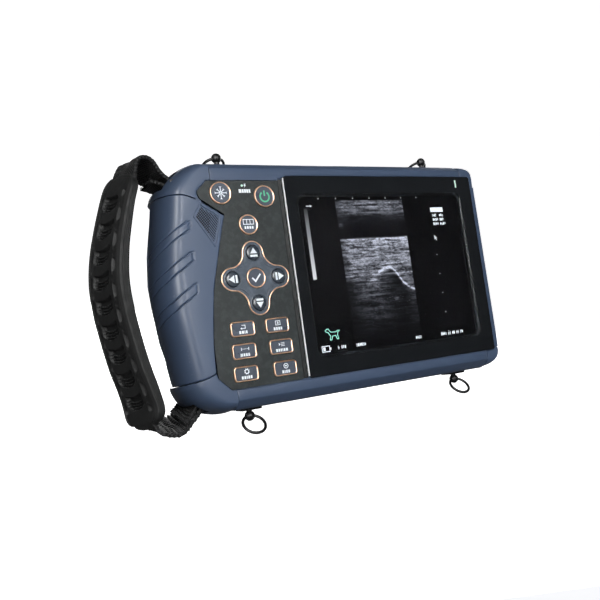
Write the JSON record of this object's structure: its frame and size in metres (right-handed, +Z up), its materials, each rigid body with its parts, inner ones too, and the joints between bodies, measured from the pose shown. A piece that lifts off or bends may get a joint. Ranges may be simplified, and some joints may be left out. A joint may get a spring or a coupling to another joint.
{
  "type": "veterinary palm ultrasound scanner",
  "caption": "Hand-held veterinary ultrasound scanner: rugged two-part casing, side hand strap, keypad beside a wide display, lanyard rings and sockets.",
  "frame": {"origin": "centre of the flat back face, straight behind the centre of the display", "axes": "+Y out of the back face, the screen faces -Y; +Z up; +X towards the socket side, the hand strap is at -X"},
  "size_m": [0.2369, 0.043, 0.1501],
  "materials": {
    "alu": "bead blasted",
    "battery": "shrink sleeve",
    "bezel": "gloss black",
    "black_metal": "black coated",
    "board": "solder-resist green",
    "brass": "gold plated",
    "cable": "polyimide film",
    "casing": "satin slate blue ABS",
    "display": "dark display surface",
    "grip": "satin soft-touch slate blue",
    "key": "satin slate",
    "key_dark": "gloss dark",
    "led": "diffusing",
    "overlay": "fine matte charcoal",
    "plate": "copper-edged",
    "seal": "matte",
    "steel": "plain",
    "strap_pad": "matte moulded",
    "trim": "bright brushed",
    "webbing": "woven nylon",
    "window": "clear hard-coated"
  },
  "bodies": {
    "housing": {"battery_contacts": "brass", "battery_pack": "battery", "beamformer_board": "board", "bezel_trim": "trim", "bumper_bottom_left": "grip", "bumper_bottom_right": "grip", "bumper_top_left": "grip", "bumper_top_right": "grip", "case_screws": "steel", "case_seal": "seal", "chassis_plate": "alu", "dc_jack": "bezel", "display_cable": "cable", "dpad_plate": "plate", "front_shell": "casing", "grip_cover": "grip", "hand_pad": "strap_pad", "indicator_window": "led", "key_mat": "seal", "keypad_board": "board", "keypad_overlay": "overlay", "lanyard_lugs": "black_metal", "lcd_panel": "display", "main_board": "board", "probe_socket": "alu", "rail_bottom": "casing", "rail_top": "casing", "rear_feet": "seal", "rear_shell": "casing", "screen_frame": "bezel", "screen_gasket": "seal", "screen_window": "window", "speaker": "bezel", "speaker_grille": "black_metal", "status_led": "led", "strap_bars": "steel", "strap_webbing_bottom": "webbing", "strap_webbing_top": "webbing", "usb_port": "steel"},
    "key_cine": {"key_cine": "key"},
    "key_disc": {"key_disc": "key"},
    "key_down": {"key_down": "key_dark"},
    "key_exit": {"key_exit": "key"},
    "key_freeze": {"key_freeze": "key"},
    "key_left": {"key_left": "key_dark"},
    "key_measure": {"key_measure": "key"},
    "key_ok": {"key_ok": "key"},
    "key_power": {"key_power": "key"},
    "key_review": {"key_review": "key"},
    "key_right": {"key_right": "key_dark"},
    "key_save": {"key_save": "key"},
    "key_setup": {"key_setup": "key"},
    "key_up": {"key_up": "key_dark"},
    "ring_bottom_left": {"ring_bottom_left": "black_metal"},
    "ring_bottom_right": {"ring_bottom_right": "black_metal"},
    "ring_top_left": {"ring_top_left": "black_metal"},
    "ring_top_right": {"ring_top_right": "black_metal"},
    "port_cover": {"port_cover": "seal"},
    "battery_door": {"battery_door": "casing"},
    "battery_latch": {"battery_latch": "bezel"}
  },
  "joints": [
    {"name": "key_cine_press", "type": "slide", "parent": "housing", "child": "key_cine", "axis": [0, 1, 0], "range_m": [0, 0.0008]},
    {"name": "key_disc_press", "type": "slide", "parent": "housing", "child": "key_disc", "axis": [0, 1, 0], "range_m": [0, 0.0008]},
    {"name": "key_down_press", "type": "slide", "parent": "housing", "child": "key_down", "axis": [0, 1, 0], "range_m": [0, 0.0008]},
    {"name": "key_exit_press", "type": "slide", "parent": "housing", "child": "key_exit", "axis": [0, 1, 0], "range_m": [0, 0.0008]},
    {"name": "key_freeze_press", "type": "slide", "parent": "housing", "child": "key_freeze", "axis": [0, 1, 0], "range_m": [0, 0.0008]},
    {"name": "key_left_press", "type": "slide", "parent": "housing", "child": "key_left", "axis": [0, 1, 0], "range_m": [0, 0.0008]},
    {"name": "key_measure_press", "type": "slide", "parent": "housing", "child": "key_measure", "axis": [0, 1, 0], "range_m": [0, 0.0008]},
    {"name": "key_ok_press", "type": "slide", "parent": "housing", "child": "key_ok", "axis": [0, 1, 0], "range_m": [0, 0.0008]},
    {"name": "key_power_press", "type": "slide", "parent": "housing", "child": "key_power", "axis": [0, 1, 0], "range_m": [0, 0.0008]},
    {"name": "key_review_press", "type": "slide", "parent": "housing", "child": "key_review", "axis": [0, 1, 0], "range_m": [0, 0.0008]},
    {"name": "key_right_press", "type": "slide", "parent": "housing", "child": "key_right", "axis": [0, 1, 0], "range_m": [0, 0.0008]},
    {"name": "key_save_press", "type": "slide", "parent": "housing", "child": "key_save", "axis": [0, 1, 0], "range_m": [0, 0.0008]},
    {"name": "key_setup_press", "type": "slide", "parent": "housing", "child": "key_setup", "axis": [0, 1, 0], "range_m": [0, 0.0008]},
    {"name": "key_up_press", "type": "slide", "parent": "housing", "child": "key_up", "axis": [0, 1, 0], "range_m": [0, 0.0008]},
    {"name": "battery_door_slide", "type": "slide", "parent": "housing", "child": "battery_door", "axis": [0, 0, -1], "range_m": [0, 0.008]},
    {"name": "battery_latch_slide", "type": "slide", "parent": "housing", "child": "battery_latch", "axis": [0, 0, 1], "range_m": [0, 0.0025]},
    {"name": "port_cover_hinge", "type": "hinge", "parent": "housing", "child": "port_cover", "pos_m": [0.0721, -0.0114, -0.0386], "axis": [0, 1, 0], "range_deg": [0, 110]},
    {"name": "ring_top_left_swing", "type": "hinge", "parent": "housing", "child": "ring_top_left", "pos_m": [-0.094, -0.024, 0.069], "axis": [1, 0, 0], "range_deg": [0, 228]},
    {"name": "ring_bottom_left_swing", "type": "hinge", "parent": "housing", "child": "ring_bottom_left", "pos_m": [-0.094, -0.024, -0.069], "axis": [1, 0, 0], "range_deg": [-55, 145]},
    {"name": "ring_top_right_swing", "type": "hinge", "parent": "housing", "child": "ring_top_right", "pos_m": [0.047, -0.024, 0.069], "axis": [1, 0, 0], "range_deg": [0, 228]},
    {"name": "ring_bottom_right_swing", "type": "hinge", "parent": "housing", "child": "ring_bottom_right", "pos_m": [0.047, -0.024, -0.069], "axis": [1, 0, 0], "range_deg": [-55, 145]}
  ]
}
